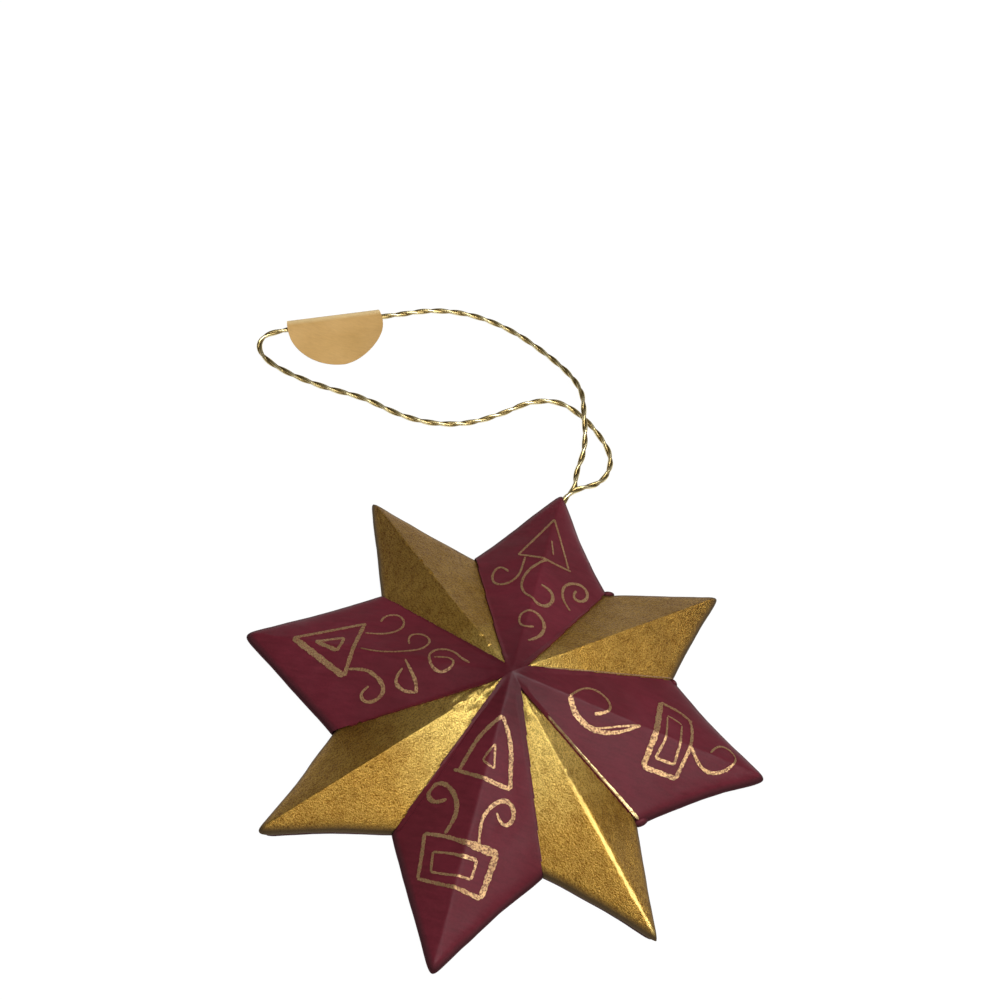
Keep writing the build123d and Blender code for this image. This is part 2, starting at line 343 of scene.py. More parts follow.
def cord_gold():
    """Metallic gold yarn: a painted highlight of bright foil on the crest of each ply, painted shade of
    olive-brown between.
    """
    yarn = Finish("cord_gold", Specular_IOR_Level=0.4)
    # U runs round a ply and V along it
    where = yarn.node("ShaderNodeUVMap", {"uv_map": "ply"}, {})
    round_ply = yarn.node("ShaderNodeSeparateXYZ", {}, {0: where}, "X")
    painted_crest_light = yarn.node("ShaderNodeMath", {"operation": "ABSOLUTE"}, {0: 2.0 * round_ply - 1.0})
    strip = yarn.node("ShaderNodeMapping", {}, {"Vector": where, "Scale": (6.0, 0.8, 1.0)})
    foil = yarn.noise(1.0, 2.0, 0.5, strip)
    # Painted highlight on each ply's crest and painted shade between the plies
    colour = yarn.ramp(
        0.75 * painted_crest_light + 0.5 * foil,
        (0.54, (0.24, 0.165, 0.060)),
        (0.76, (0.54, 0.41, 0.165)),
        (0.98, (0.95, 0.82, 0.48)),
    )
    yarn.feed(
        Base_Color=colour,
        Metallic=0.92,
        Roughness=0.36 - 0.16 * foil,
        Normal=yarn.bump(foil, 0.5, 0.00012),
    )
    return yarn.material


def label_paper():
    """Buff uncoated paper with a faint fibre, and a painted highlight, paler, along the fold."""
    paper = Finish("label_paper", Specular_IOR_Level=0.3)
    fibre = paper.noise(1.0, 5.0, 0.65, paper.stretched((0.0, 0.0, 0.5), (700.0, 2600.0, 1500.0)))
    clouds = paper.noise(140.0, 3.0, 0.5)
    body = paper.ramp(clouds, (0.30, (0.57, 0.34, 0.110)), (0.70, (0.65, 0.40, 0.145)))
    fold_place = label_middle.dot(label_flap) / MM
    from_fold = paper.run(label_flap) - fold_place + label_slack + label_sleeve
    # Painted highlight: a paler colour along the fold
    pale = paper.ramp(from_fold * 0.5, (0.30, 0.75), (0.85, 0.0))
    colour = paper.blend(pale, body, (0.82, 0.64, 0.34, 1.0))
    colour = paper.blend(1.0, colour, paper.ramp(fibre, (0.25, 0.90), (0.75, 1.06)), "MULTIPLY")
    paper.feed(Base_Color=colour, Roughness=0.62 + 0.15 * fibre, Normal=paper.bump(fibre, 0.15, 0.00008))
    return paper.material


maroon = maroon_paint()
stroke_gold = scroll_gold()
edge_gold = burnished_gold()
back_colour = back_paint()
solder_grey = solder_finish()
yarn_gold = cord_gold()


# Working with operators

def pick(*objects):
    """Select only these objects; the first is the active one."""
    bpy.ops.object.select_all(action="DESELECT")
    for piece in objects:
        piece.select_set(True)
    bpy.context.view_layer.objects.active = objects[0]


def open_edit(piece):
    pick(piece)
    bpy.ops.object.mode_set(mode="EDIT")


def close_edit():
    bpy.ops.object.mode_set(mode="OBJECT")


def select(piece, kind, test):
    """In edit mode, select only the verts, edges or faces that pass a test."""
    bpy.ops.mesh.select_mode(type={"verts": "VERT", "edges": "EDGE", "faces": "FACE"}[kind])
    bpy.ops.mesh.select_all(action="DESELECT")
    shape = bmesh.from_edit_mesh(piece.data)
    for element in getattr(shape, kind):
        if test(element):
            element.select_set(True)
    shape.select_flush_mode()
    bmesh.update_edit_mesh(piece.data)


def select_open_edges():
    """In edit mode, select only the open edges."""
    bpy.ops.mesh.select_mode(type="EDGE")
    bpy.ops.mesh.select_all(action="DESELECT")
    bpy.ops.mesh.select_non_manifold()


def turn_outward():
    """In edit mode, turn all faces to one side, outward where the piece is closed."""
    bpy.ops.mesh.select_all(action="SELECT")
    bpy.ops.mesh.normals_make_consistent(inside=False)


def modify(piece, kind, **settings):
    """Add a modifier, set it up and apply it."""
    pick(piece)
    modifier = piece.modifiers.new(kind.lower(), kind)
    for key, value in settings.items():
        setattr(modifier, key, value)
    bpy.ops.object.modifier_apply(modifier=modifier.name)


def copy_of(piece, name):
    """A copy with its own mesh."""
    copy = bpy.data.objects.new(name, piece.data.copy())
    scene.collection.objects.link(copy)
    return copy


def mesh_piece(name, places, faces):
    data = bpy.data.meshes.new(name)
    data.from_pydata(places, [], faces)
    piece = bpy.data.objects.new(name, data)
    scene.collection.objects.link(piece)
    return piece


def remove(piece):
    bpy.data.objects.remove(piece, do_unlink=True)


def finish_piece(piece, material, body, slot, *nodes):
    """Give a piece its finish, its body and the nodes that it stands for."""
    piece.data.materials.clear()
    piece.data.materials.append(material)
    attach(piece, body)
    if nodes:
        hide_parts(*nodes)


# Hanging cord

ply_radius = 0.36
ply_offset = 0.20
ply_pitch = 7.6
ply_sides = 14

# The cord's route in millimetres: out of the hole, over its own crossing, through the label, round and back
cord_route = [
    (0.1, 42.4, 1.3), (0.5, 44.0, 1.3), (1.35, 45.8, 1.25), (1.95, 47.4, 1.2), (1.55, 49.6, 1.2),
    (1.5, 52.0, 1.2), (1.8, 54.7, 1.3), (1.6, 57.5, 1.55), (1.05, 60.1, 1.9), (0.4, 62.4, 2.2),
    (-0.3, 64.8, 2.25), (-1.0, 67.6, 2.2), (-2.2, 70.4, 1.9), (-5.2, 74.2, 0.9), (-11.2, 78.0, 0.62),
    (-18.7, 81.4, 0.62), (-27.2, 82.8, 0.62), (-35.2, 81.3, 0.755), (-42.1, 77.2, 0.89),
    (-63.6, 65.3, 0.89), (-65.9, 62.0, 0.755), (-64.4, 58.6, 0.62), (-59.2, 56.3, 0.62),
    (-50.5, 55.0, 0.62), (-42.0, 55.2, 0.62), (-34.5, 53.3, 0.62), (-27.5, 53.4, 0.62),
    (-21.0, 55.7, 0.62), (-15.3, 60.3, 0.62), (-10.9, 65.0, 0.62), (-5.3, 66.9, 0.62),
    (0.0, 64.5, 0.62), (4.2, 61.0, 0.62), (7.1, 57.2, 0.62), (7.5, 53.2, 0.75), (6.1, 49.6, 1.15),
    (3.4, 47.3, 1.9), (1.7, 45.8, 2.15), (0.9, 44.2, 2.1), (0.4, 42.4, 1.9),
]


def spline_points(name, route):
    """Points along a NURBS spline whose control points are the route's."""
    curve = bpy.data.curves.new(name, "CURVE")
    curve.dimensions = "3D"
    curve.resolution_u = 24
    spline = curve.splines.new("NURBS")
    spline.points.add(len(route) - 1)
    for point, place in zip(spline.points, route):
        point.co = (*mm(*place), 1.0)
    spline.order_u = 3
    spline.use_endpoint_u = True
    line = bpy.data.objects.new(name, curve)
    scene.collection.objects.link(line)
    bpy.context.view_layer.update()
    mesh = bpy.data.meshes.new_from_object(line)
    points = [vertex.co.copy() for vertex in mesh.vertices]
    remove(line)
    bpy.data.meshes.remove(mesh)
    return points


def cross_frames(points):
    """At each point of a line: how far along it is, and two directions across it that don't twist."""
    frames = []
    along = 0.0
    side = None
    for number, point in enumerate(points):
        before = points[max(number - 1, 0)]
        after = points[min(number + 1, len(points) - 1)]
        way = (after - before).normalized()
        if side is None:
            side = way.orthogonal()
        side = (side - way * side.dot(way)).normalized()
        frames.append((along, side.copy(), way.cross(side)))
        if number + 1 < len(points):
            along += (points[number + 1] - point).length
    return frames


def twisted_plies(name, points):
    """Two plies laid round each other along a line, with a UV map that runs round and along each ply."""
    places, faces, marks = [], [], []
    frames = cross_frames(points)
    for ply in range(2):
        first = len(places)
        for point, (along, side, over) in zip(points, frames):
            lay = 2 * pi * along / (ply_pitch * MM) + pi * ply
            middle = point + (side * cos(lay) + over * sin(lay)) * ply_offset * MM
            for corner in range(ply_sides):
                turn = lay + 2 * pi * corner / ply_sides
                places.append(middle + (side * cos(turn) + over * sin(turn)) * ply_radius * MM)
        rings = len(points)
        for ring in range(rings - 1):
            for corner in range(ply_sides):
                low = first + ring * ply_sides + corner
                high = first + ring * ply_sides + (corner + 1) % ply_sides
                faces.append((low, high, high + ply_sides, low + ply_sides))
                bottom, top = frames[ring][0] / MM, frames[ring + 1][0] / MM
                left, right = corner / ply_sides, (corner + 1) / ply_sides
                marks.append([(left, bottom), (right, bottom), (right, top), (left, top)])
        last = first + (rings - 1) * ply_sides
        for start, order in ((first, -1), (last, 1)):
            faces.append(tuple(start + corner for corner in range(ply_sides))[::order])
            marks.append([(corner / ply_sides, 0.0) for corner in range(ply_sides)])
    piece = mesh_piece(name, places, faces)
    layer = piece.data.uv_layers.new(name="ply")
    for face, mark in zip(piece.data.polygons, marks):
        for loop, place in zip(face.loop_indices, mark):
            layer.data[loop].uv = place
    pick(piece)
    bpy.ops.object.shade_smooth()
    return piece


cord_line = spline_points("cord_line", cord_route)
cord = twisted_plies("hanging_cord", cord_line)
cord.data.materials.append(yarn_gold)
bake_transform(cord)
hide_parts("cord_loop")

# Knot inside the top point: one overhand turn of the same cord, as a trefoil
knot_middle = (0.0, 39.4, 1.75)
# Scales of the knot's turns across, along and up
knot_scales = (0.62, 0.55, 0.42)
knot_steps = 24


def knot_route():
    """A closed overhand knot that draws together towards the neck."""
    route = []
    wide, long, high = knot_scales
    for step in range(knot_steps + 1):
        turn = 2 * pi * step / knot_steps
        across = wide * (sin(turn) + 2 * sin(2 * turn))
        along = long * (cos(turn) - 2 * cos(2 * turn))
        rise = -high * sin(3 * turn)
        route.append((knot_middle[0] + across, knot_middle[1] + along, knot_middle[2] + rise))
    return route


knot = twisted_plies("cord_end_knot", spline_points("knot_line", knot_route()))
finish_piece(knot, yarn_gold, "star", "gold_cord", "cord_knot")


# Folded paper label

label_radius = 9.525
label_fold_offset = 2.75
label_paper_thickness = 0.12
label_sleeve = 0.80
label_slack = 0.85
label_meet = 3.4
label_droop = 0.75
label_curl = 3.2
label_bend = 1.5
# Height of each leaf's middle over the fold's plane, where the leaves have met
label_closed = 0.085
label_end_width = 0.02
# Faint ripple of the leaves: height, radians per millimetre and start
label_ripple = (0.05, 0.35, 0.4)
label_smooth_angle = radians(50)
label_middle = mm(-53.25, 71.04, 0.89)
label_way = Vector((-0.875107, -0.48393, 0.0))
label_flap = Vector((0.48393, -0.875107, 0.0))
label_across = 72
label_rows = 150


def label_section(run):
    """Where the paper lies in section, a run of millimetres from the fold along one leaf: out, up."""
    quarter = label_sleeve * pi / 2
    if run < quarter:
        angle = run / label_sleeve
        return -label_slack - label_sleeve * cos(angle), label_sleeve * sin(angle)
    out = run - quarter - label_slack
    share = min(max(out / label_meet, 0.0), 1.0)
    easing = share * share * (3 - 2 * share)
    return out, label_sleeve * (1 - easing) + label_closed * easing


def label_leaf():
    """The round label bent over the cord, off its middle, so that the upper leaf is the longer one."""
    places, faces = [], []
    ripple, rate, start = label_ripple
    for row in range(label_rows + 1):
        down = label_radius * sin(pi / 2 * (2 * row / label_rows - 1))
        half_width = sqrt(max(label_radius ** 2 - down ** 2, 0.0)) + label_end_width
        run = down + label_fold_offset
        out, up = label_section(abs(run))
        up = up if run >= 0 else -up
        outward = max(out, 0.0) / label_radius
        droop = label_droop * outward ** label_bend
        for column in range(label_across + 1):
            across = half_width * (2 * column / label_across - 1)
            lift = ripple * sin(rate * across + start) * outward ** 2
            lift += label_curl * (max(-across, 0.0) / label_radius) ** label_bend * outward
            place = label_middle + label_way * (across * MM) + label_flap * (out * MM)
            places.append(place + Vector((0, 0, (up + lift - droop) * MM)))
    stride = label_across + 1
    for row in range(label_rows):
        for column in range(label_across):
            low = row * stride + column
            faces.append((low, low + 1, low + 1 + stride, low + stride))
    leaf = mesh_piece("folded_label", places, faces)
    modify(leaf, "SOLIDIFY", thickness=label_paper_thickness * MM, offset=0.0)
    pick(leaf)
    bpy.ops.object.shade_smooth_by_angle(angle=label_smooth_angle)
    return leaf


label = label_leaf()
finish_piece(label, label_paper(), "tag", "tag_paper", "paper_tag")


# Star form: one pyramid of sixteen facets, softened, then divided into its eight points

star_reach = 45.0
back_sheet = 0.3
tin_sheet = 0.3
rim_top = 2.4
apex_height = 15.15
apex_place = (-0.40, -0.20)
facet_cuts = 11
ridge_crease = 0.316
hub_soft = 3.0
# Height over the rim from which a ridge is creased
ridge_start = 0.5
# Millimetres within which a place counts as on a line, and the share of an edge left straight at its ends
near = 0.01
edge_end = 0.01
# The lower right point's ridge is rounded over its outer half
soft_ridge = 7
soft_ridge_reach = 22.0
soft_ridge_press = 0.24
gold_drop = 0.33
flange = 0.8
flange_fall = 0.3
flange_inner_gap = 0.2
flange_outer_gap = 1.0
# Half breadths of the bands of faces to cut, and of edges to run on, along a lapped edge
cut_band = 0.9
lap_band = 0.4
foot_share = 1.2
sheet_smooth_angle = radians(40)
# The rolled rim's rings: height as drawn down, spread about the axis, height as set
rim_rings = [(rim_top, 0.982, 2.63), (1.35, 1.006, 1.35), (back_sheet, 0.985, back_sheet)]

point_names = [
    "maroon_point_right", "gold_point_upper_right", "maroon_point_top", "gold_point_upper_left",
    "maroon_point_left", "gold_point_lower_left", "maroon_point_bottom", "gold_point_lower_right",
]
# How far from the apex each gold point ends, covered by its lapped maroon neighbours
hub_laps = {1: 3.0, 3: 1.9, 5: 1.7, 7: 2.9}
# Reach and angle of the tips, and of the inner corners that follow them anticlockwise, as the hand cut them
tip_places = [
    (44.7, -0.4), (44.9, 44.7), (44.0, 90.1), (45.8, 136.3),
    (45.4, 180.6), (45.4, 225.1), (45.2, 270.0), (44.9, 315.7),
]
# How far each tip's pattern runs on before it is blunted
tip_spares = [1.1, 1.5, 1.1, 1.5, 1.3, 1.8, 1.2, 1.2]
# A blunted end lies past its tip by half of what the tip's spare leaves of this
blunt_room = 2.6
corner_places = [
    (30.0, 25.2), (29.15, 65.1), (29.0, 115.1), (29.5, 152.7),
    (29.6, 206.6), (29.5, 246.2), (29.85, 295.4), (29.55, 331.6),
]
# How far each tip's two edges, clockwise and anticlockwise, bow in
edge_bows = [
    (0.6, 0.5), (0.2, 0.1), (0.7, 0.2), (0.35, 0.0), (0.3, 0.1), (0.35, 0.4), (-0.05, 0.4), (0.5, 0.05),
]


def polar(reach, angle):
    return Vector((cos(radians(angle)), sin(radians(angle)))) * reach


tips = [polar(reach, angle) for reach, angle in tip_places]
corners = [polar(reach, angle) for reach, angle in corner_places]
apex = Vector(apex_place)
pattern_tips = [tip + tip.normalized() * spare for tip, spare in zip(tips, tip_spares)]


def turn_of(first, second):
    return first.x * second.y - first.y * second.x


def point_number(place):
    """Which point a place in plan, in millimetres, belongs to."""
    out = place - apex
    for number in range(8):
        after_right = turn_of(corners[number - 1] - apex, out) >= 0
        before_left = turn_of(corners[number] - apex, out) < 0
        if after_right and before_left:
            return number
    return 0


def ridge_way(number):
    return (tips[number] - apex).normalized()


def on_line(place, ends):
    """Whether a place in plan lies on one of the lines from the apex to these ends."""
    out = place - apex
    for end in ends:
        way = (end - apex).normalized()
        if out.dot(way) > -near and abs(turn_of(way, out)) < near:
            return True
    return out.length < near


def lapped_edges(number):
    """A gold point's two edges, as the lapped maroon sheets leave it: side, inner end, outer corner."""
    end = apex + ridge_way(number) * hub_laps[number]
    return [(-1, end, corners[number - 1]), (1, end, corners[number])]


def plan_mm(place):
    return Vector((place.x, place.y)) / MM


def blunted(place):
    """A place on the outline, drawn back where it is the end of a tip's pattern."""
    for tip, pattern_tip in zip(tips, pattern_tips):
        if (place - pattern_tip).length < near:
            return tip + tip.normalized() * (blunt_room - (pattern_tip - tip).length) / 2
    return place


def bowed(place):
    """A place on the outline, moved in with the bow of its edge."""
    for number, bows in enumerate(edge_bows):
        tip = pattern_tips[number]
        for bow, corner in zip(bows, (corners[number - 1], corners[number])):
            edge = corner - tip
            share = (place - tip).dot(edge) / edge.length_squared
            aside = abs(turn_of(edge.normalized(), place - tip))
            if edge_end < share < 1 - edge_end and aside < near:
                inward = Vector((-edge.y, edge.x)).normalized()
                if inward.dot(place) > 0:
                    inward = -inward
                return place + inward * bow * sin(pi * share)
    return place


def star_form():
    """The softened surface of the whole star, before its faces are marked with the number of their point."""
    bpy.ops.object.select_all(action="DESELECT")
    bpy.ops.mesh.primitive_cone_add(
        vertices=16,
        radius1=star_reach * MM,
        radius2=0.0,
        depth=(apex_height - rim_top) * MM,
        end_fill_type="NOTHING",
        location=mm(0, 0, (apex_height + rim_top) / 2),
    )
    form = bpy.context.object
    form.name = "star_form"
    bpy.ops.object.transform_apply(location=True, rotation=True, scale=True)
    for vertex in form.data.vertices:
        if vertex.co.z > (rim_top + 1) * MM:
            vertex.co.xy = apex * MM
            continue
        number = round(degrees(atan2(vertex.co.y, vertex.co.x)) / 22.5) % 16
        if number % 2:
            vertex.co.xy = corners[number // 2] * MM
        else:
            vertex.co.xy = pattern_tips[number // 2] * MM
    open_edit(form)
    bpy.ops.mesh.select_all(action="SELECT")
    bpy.ops.mesh.subdivide(number_cuts=facet_cuts)
    bpy.ops.mesh.tris_convert_to_quads()
    select_open_edges()
    for upper, lower in zip(rim_rings, rim_rings[1:]):
        bpy.ops.mesh.extrude_edges_move(TRANSFORM_OT_translate={"value": mm(0, 0, lower[0] - upper[0])})

    def outer_line(edge, ends):
        spots = [plan_mm(vertex.co) for vertex in edge.verts]
        farthest = max((spot - apex).length for spot in spots)
        return farthest > hub_soft and all(on_line(spot, ends) for spot in spots)

    def outer_ridge(edge):
        from_soft_tip = min((plan_mm(vertex.co) - tips[soft_ridge]).length for vertex in edge.verts)
        highest = max(vertex.co.z for vertex in edge.verts)
        creased = from_soft_tip >= soft_ridge_reach and highest > (rim_top + ridge_start) * MM
        return creased and outer_line(edge, tips)

    select(form, "edges", lambda edge: outer_line(edge, corners))
    bpy.ops.transform.edge_crease(value=1.0)
    select(form, "edges", outer_ridge)
    bpy.ops.transform.edge_crease(value=ridge_crease)
    close_edit()
    for vertex in form.data.vertices:
        for drawn, spread, height in rim_rings:
            if abs(vertex.co.z - drawn * MM) < 1e-6:
                place = bowed(blunted(plan_mm(vertex.co))) * spread
                vertex.co = mm(place.x, place.y, height)
                break
        else:
            place = plan_mm(vertex.co)
            if on_line(place, [tips[soft_ridge]]) and (place - tips[soft_ridge]).length < soft_ridge_reach:
                vertex.co.z -= soft_ridge_press * MM
    modify(form, "SUBSURF", levels=3, render_levels=3)
    return form


def mark_points(form):
    """Cut along the lapped edges, then mark every face with the point that it belongs to."""
    open_edit(form)
    for number in range(1, 8, 2):
        way = ridge_way(number)
        for side, end, corner in lapped_edges(number):
            line = (corner - end).normalized()

            def near_edge(face):
                place = plan_mm(face.calc_center_median())
                on_side = turn_of(way, place - apex) * side > 0
                by_line = abs(turn_of(line, place - end)) < cut_band
                return on_side and by_line and point_number(place) == number

            select(form, "faces", near_edge)
            bpy.ops.mesh.bisect(plane_co=mm(end.x, end.y, 0), plane_no=(-line.y, line.x, 0.0))
    close_edit()
    for name in point_names:
        form.data.materials.append(None)
    for face in form.data.polygons:
        place = plan_mm(face.center)
        number = point_number(place)
        if number % 2:
            side, end, corner = lapped_edges(number)[turn_of(ridge_way(number), place - apex) > 0]
            if turn_of(corner - end, place - end) * side > 0:
                number = (number + side) % 8
        face.material_index = number


# Waves in the sheet: their size and height
sheet_waves = (("broad_wave", 9.0, 0.34), ("small_wave", 3.2, 0.10))


def displace(piece, texture, strength):
    """Move a surface in and out by a texture, a strength of millimetres in all."""
    settings = {"texture": texture, "texture_coords": "LOCAL", "mid_level": 0.5}
    modify(piece, "DISPLACE", strength=strength * MM, **settings)


def waves(form):
    """Shallow waves of hand-worked sheet."""
    for name, size, strength in sheet_waves:
        cloud = bpy.data.textures.new(name, "CLOUDS")
        cloud.noise_scale = size * MM
        cloud.noise_depth = 1
        displace(form, cloud, strength)


def level_foot(form):
    """Set the rim's lower edge flat on the back sheet."""
    for vertex in form.data.vertices:
        if vertex.co.z < foot_share * back_sheet * MM:
            vertex.co.z = back_sheet * MM


form = star_form()
mark_points(form)
waves(form)
level_foot(form)


def point_sheet(form, number):
    """One point's own sheet, cut from the star form."""
    sheet = copy_of(form, point_names[number] + "_sheet")
    open_edit(sheet)
    select(sheet, "faces", lambda face: face.material_index != number)
    bpy.ops.mesh.delete(type="FACE")
    close_edit()
    return sheet


def tuck_under(sheet, number):
    """Drop a gold sheet by one thickness and run a flange from its lapped edges under the maroon sheets."""
    modify(sheet, "DISPLACE", strength=-gold_drop * MM, mid_level=0.0)
    open_edit(sheet)
    for side, end, corner in lapped_edges(number):
        line = (corner - end).normalized()
        reach = (corner - end).length

        def lapped(edge):
            middle = plan_mm((edge.verts[0].co + edge.verts[1].co) / 2) - end
            along_lap = flange_inner_gap < middle.dot(line) < reach - flange_outer_gap
            return edge.is_boundary and abs(turn_of(line, middle)) < lap_band and along_lap

        select(sheet, "edges", lapped)
        step = mm(-line.y * side * flange, line.x * side * flange, -flange_fall * flange)
        bpy.ops.mesh.extrude_edges_move(TRANSFORM_OT_translate={"value": step})
    close_edit()
    face_up(sheet)


def face_up(sheet):
    """Turn an open sheet's faces outward, all to one side."""
    open_edit(sheet)
    turn_outward()
    close_edit()
    if sum(face.normal.z * face.area for face in sheet.data.polygons) < 0:
        open_edit(sheet)
        bpy.ops.mesh.select_all(action="SELECT")
        bpy.ops.mesh.flip_normals()
        close_edit()


# Gold sheets pressed and creased next to the hub: reach, ease, depth of the press, height of the folds
crumples = {5: (12.0, 5.0, 0.05, 0.10), 7: (7.6, 0.6, 0.28, 0.05)}
# Two rows of folds that cross: radians per millimetre along the ridge and across it, and start
crumple_rows = [(1.5, 3.1, 0.0), (0.6, -4.3, 1.0)]


def crumple(sheet, number):
    """Press small folds into a gold sheet next to the hub."""
    reach, ease, press, fold = crumples[number]
    way = ridge_way(number)
    for vertex in sheet.data.vertices:
        out = plan_mm(vertex.co) - apex
        along = out.dot(way)
        side = turn_of(way, out)
        share = min(max((reach - along) / ease, 0.0), 1.0)
        folds = sum(sin(lead * along + cross * side + start) for lead, cross, start in crumple_rows)
        vertex.co.z += share * (fold * folds - press) * MM


gold = gilt()
for number, name in enumerate(point_names):
    sheet = point_sheet(form, number)
    if number % 2:
        tuck_under(sheet, number)
    if number in crumples:
        crumple(sheet, number)
    modify(sheet, "SOLIDIFY", thickness=tin_sheet * MM, offset=-1.0)
    pick(sheet)
    bpy.ops.object.shade_smooth_by_angle(angle=sheet_smooth_angle)
    material, slot = (gold, "gold_leaf") if number % 2 else (maroon, "maroon_paint")
    finish_piece(sheet, material, "star", slot, name)

# Back sheet, cut to the same outline
back_inset = 0.99
back = copy_of(form, "back_sheet")
open_edit(back)
select_open_edges()
bpy.ops.mesh.edge_face_add()
bpy.ops.mesh.select_mode(type="FACE")
bpy.ops.mesh.select_all(action="INVERT")
bpy.ops.mesh.delete(type="FACE")
close_edit()
for vertex in back.data.vertices:
    vertex.co *= back_inset
    vertex.co.z = back_sheet * MM
open_edit(back)
bpy.ops.mesh.select_all(action="SELECT")
bpy.ops.mesh.quads_convert_to_tris(ngon_method="CLIP")
bpy.ops.mesh.extrude_region_move(TRANSFORM_OT_translate={"value": mm(0, 0, -back_sheet)})
turn_outward()
close_edit()
finish_piece(back, back_colour, "star", "back_paint", "back_plate")

